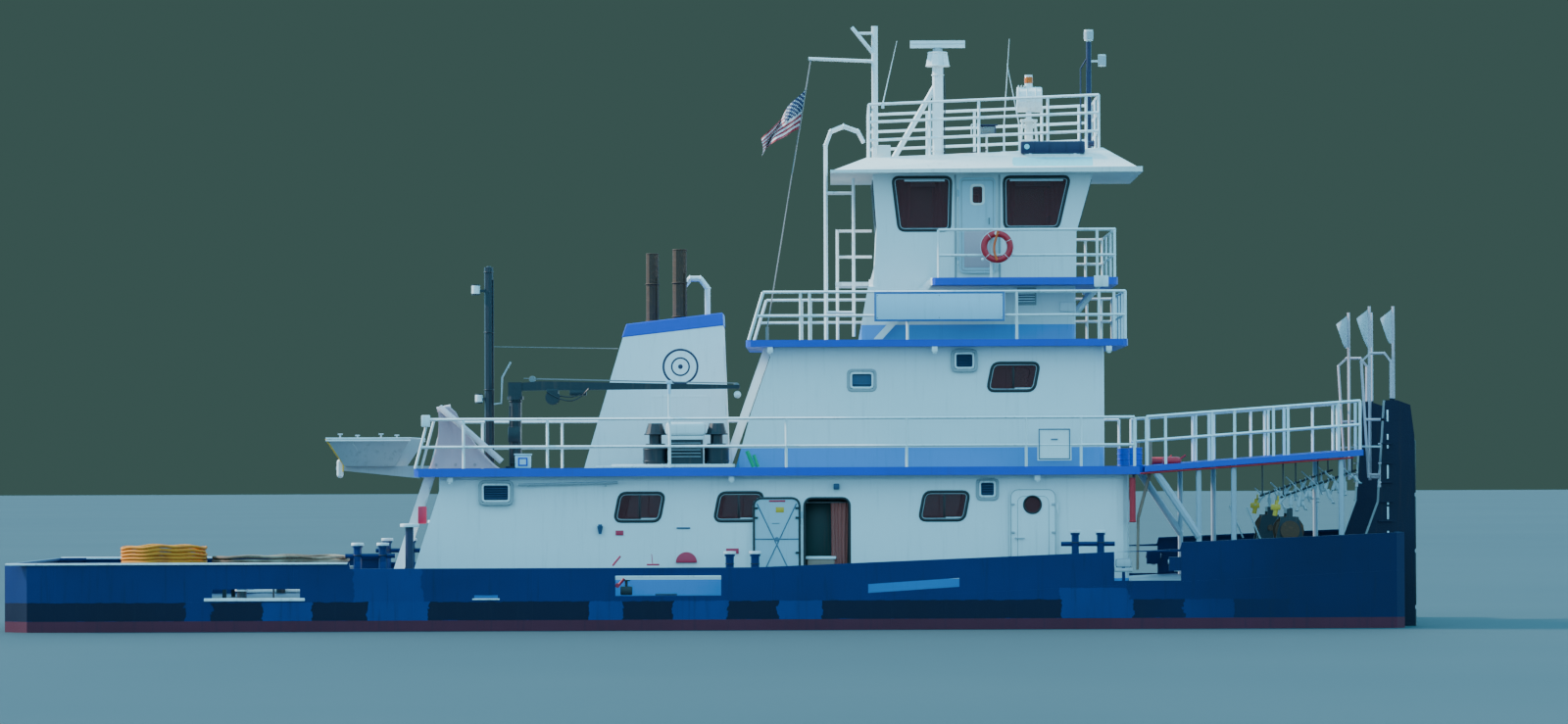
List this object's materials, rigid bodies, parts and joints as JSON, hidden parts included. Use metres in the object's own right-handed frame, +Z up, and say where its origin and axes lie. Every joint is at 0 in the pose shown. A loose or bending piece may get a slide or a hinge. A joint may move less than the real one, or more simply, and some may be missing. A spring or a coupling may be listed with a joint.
{
  "type": "river towboat",
  "caption": "River pushboat with push knees, stacked deckhouses, a raised pilothouse, twin screws and flanking rudders.",
  "frame": {"origin": "under the middle of the hull, on its flat bottom", "axes": "+X towards the bow along the length, +Y to port, +Z up"},
  "size_m": [29, 9.14, 15.0349],
  "materials": {
    "hull_paint": "worn semi-gloss",
    "house_paint": "semi-gloss",
    "deck_paint": "semi-gloss",
    "black_steel": "worn matte",
    "exhaust_steel": "rusted",
    "bronze": "dull",
    "bare_aluminium": "weathered",
    "canvas": "faded",
    "yellow_rope": "worn",
    "brown_rope": "worn",
    "flag_cloth": "woven"
  },
  "bodies": {
    "boat": {"hull": "hull_paint", "bulwark": "hull_paint", "push_knee_starboard": "hull_paint", "push_knee_port": "hull_paint", "main_deckhouse": "house_paint", "upper_deck": "deck_paint", "main_aft_stair": "house_paint", "upper_rail_starboard": "house_paint", "upper_rail_port": "house_paint", "bow_walkway_starboard": "deck_paint", "bow_walkway_port": "deck_paint", "second_house": "house_paint", "texas_deck": "deck_paint", "texas_stair": "house_paint", "texas_rail": "house_paint", "pilothouse_base": "house_paint", "wing_deck": "deck_paint", "pilothouse": "house_paint", "wing_rail": "house_paint", "roof_rail": "house_paint", "pilothouse_roof": "house_paint", "exhaust_pipe_port": "exhaust_steel", "exhaust_pipe_starboard": "exhaust_steel", "stack_casing": "house_paint", "radar_mast": "house_paint", "signal_mast": "house_paint", "ensign_halyard": "house_paint", "ensign": "flag_cloth", "aft_landing": "house_paint", "roof_ladder": "house_paint", "crane_pedestal": "black_steel", "aft_mast": "black_steel", "canvas_cover": "canvas", "skiff": "bare_aluminium", "skiff_arms": "black_steel", "engine_room_vents": "black_steel", "line_rack": "black_steel", "stern_line_yellow": "yellow_rope", "stern_line_brown": "brown_rope", "winch_frame_starboard": "black_steel", "winch_frame_port": "black_steel"},
    "propeller_starboard": {"propeller_starboard": "bronze"},
    "propeller_port": {"propeller_port": "bronze"},
    "steering_rudder_starboard": {"steering_rudder_starboard": "black_steel"},
    "steering_rudder_port": {"steering_rudder_port": "black_steel"},
    "flanking_rudder_outer_starboard": {"flanking_rudder_outer_starboard": "black_steel"},
    "flanking_rudder_inner_starboard": {"flanking_rudder_inner_starboard": "black_steel"},
    "flanking_rudder_outer_port": {"flanking_rudder_outer_port": "black_steel"},
    "flanking_rudder_inner_port": {"flanking_rudder_inner_port": "black_steel"},
    "radar_scanner": {"radar_scanner": "house_paint"},
    "searchlight": {"searchlight": "house_paint"},
    "crane_head": {"crane_head": "black_steel"},
    "crane_boom": {"crane_boom": "black_steel"},
    "winch_drum_starboard": {"winch_drum_starboard": "exhaust_steel"},
    "winch_drum_port": {"winch_drum_port": "exhaust_steel"},
    "main_door_starboard": {"main_door_starboard": "house_paint"},
    "main_door_port": {"main_door_port": "house_paint"},
    "fore_door_starboard": {"fore_door_starboard": "house_paint"},
    "pilothouse_door_starboard": {"pilothouse_door_starboard": "house_paint"},
    "pilothouse_door_port": {"pilothouse_door_port": "house_paint"}
  },
  "joints": [
    {"name": "propeller_turn_starboard", "type": "hinge", "parent": "boat", "child": "propeller_starboard", "pos_m": [-11.7, -2.2, 1.04], "axis": [1, 0, 0], "continuous": true},
    {"name": "propeller_turn_port", "type": "hinge", "parent": "boat", "child": "propeller_port", "pos_m": [-11.7, 2.2, 1.04], "axis": [1, 0, 0], "continuous": true},
    {"name": "steering_starboard", "type": "hinge", "parent": "boat", "child": "steering_rudder_starboard", "pos_m": [-13.05, -2.2, 1], "axis": [0, 0, 1], "range_deg": [-40, 40]},
    {"name": "steering_port", "type": "hinge", "parent": "boat", "child": "steering_rudder_port", "pos_m": [-13.05, 2.2, 1], "axis": [0, 0, 1], "range_deg": [-40, 40]},
    {"name": "flanking_outer_starboard", "type": "hinge", "parent": "boat", "child": "flanking_rudder_outer_starboard", "pos_m": [-10.65, -2.82, 1], "axis": [0, 0, 1], "range_deg": [-35, 35]},
    {"name": "flanking_inner_starboard", "type": "hinge", "parent": "boat", "child": "flanking_rudder_inner_starboard", "pos_m": [-10.65, -1.58, 1], "axis": [0, 0, 1], "range_deg": [-35, 35]},
    {"name": "flanking_outer_port", "type": "hinge", "parent": "boat", "child": "flanking_rudder_outer_port", "pos_m": [-10.65, 2.82, 1], "axis": [0, 0, 1], "range_deg": [-35, 35]},
    {"name": "flanking_inner_port", "type": "hinge", "parent": "boat", "child": "flanking_rudder_inner_port", "pos_m": [-10.65, 1.58, 1], "axis": [0, 0, 1], "range_deg": [-35, 35]},
    {"name": "radar_turn", "type": "hinge", "parent": "boat", "child": "radar_scanner", "pos_m": [4.74, 0, 14.6], "axis": [0, 0, 1], "continuous": true},
    {"name": "searchlight_pan", "type": "hinge", "parent": "boat", "child": "searchlight", "pos_m": [6.64, -0.7, 13.1], "axis": [0, 0, 1], "range_deg": [-170, 170]},
    {"name": "crane_slew", "type": "hinge", "parent": "boat", "child": "crane_head", "pos_m": [-4.07, -2.9, 7.2], "axis": [0, 0, 1], "range_deg": [-160, 10]},
    {"name": "crane_luff", "type": "hinge", "parent": "crane_head", "child": "crane_boom", "pos_m": [-4.07, -2.9, 7.43], "axis": [0, -1, 0], "range_deg": [0, 60]},
    {"name": "winch_turn_starboard", "type": "hinge", "parent": "boat", "child": "winch_drum_starboard", "pos_m": [11.9, -2.8, 4.42], "axis": [0, 1, 0], "continuous": true},
    {"name": "winch_turn_port", "type": "hinge", "parent": "boat", "child": "winch_drum_port", "pos_m": [11.9, 2.8, 4.42], "axis": [0, 1, 0], "continuous": true},
    {"name": "main_door_swing_starboard", "type": "hinge", "parent": "boat", "child": "main_door_starboard", "pos_m": [1.846, -3.218, 4.2], "axis": [0, 0, 1], "range_deg": [0, 180]},
    {"name": "main_door_swing_port", "type": "hinge", "parent": "boat", "child": "main_door_port", "pos_m": [1.846, 3.218, 4.2], "axis": [0, 0, -1], "range_deg": [0, 180]},
    {"name": "fore_door_swing_starboard", "type": "hinge", "parent": "boat", "child": "fore_door_starboard", "pos_m": [7.124, -3.218, 4.4], "axis": [0, 0, 1], "range_deg": [0, 85]},
    {"name": "pilothouse_door_swing_starboard", "type": "hinge", "parent": "boat", "child": "pilothouse_door_starboard", "pos_m": [5.116, -2.098, 10.8], "axis": [0, 0, 1], "range_deg": [-90, 0]},
    {"name": "pilothouse_door_swing_port", "type": "hinge", "parent": "boat", "child": "pilothouse_door_port", "pos_m": [5.116, 2.098, 10.8], "axis": [0, 0, -1], "range_deg": [-90, 0]}
  ],
  "couplings": [
    {"joint": "steering_port", "follows": "steering_starboard", "ratio": 1},
    {"joint": "flanking_inner_starboard", "follows": "flanking_outer_starboard", "ratio": 1},
    {"joint": "flanking_outer_port", "follows": "flanking_outer_starboard", "ratio": 1},
    {"joint": "flanking_inner_port", "follows": "flanking_outer_starboard", "ratio": 1}
  ]
}
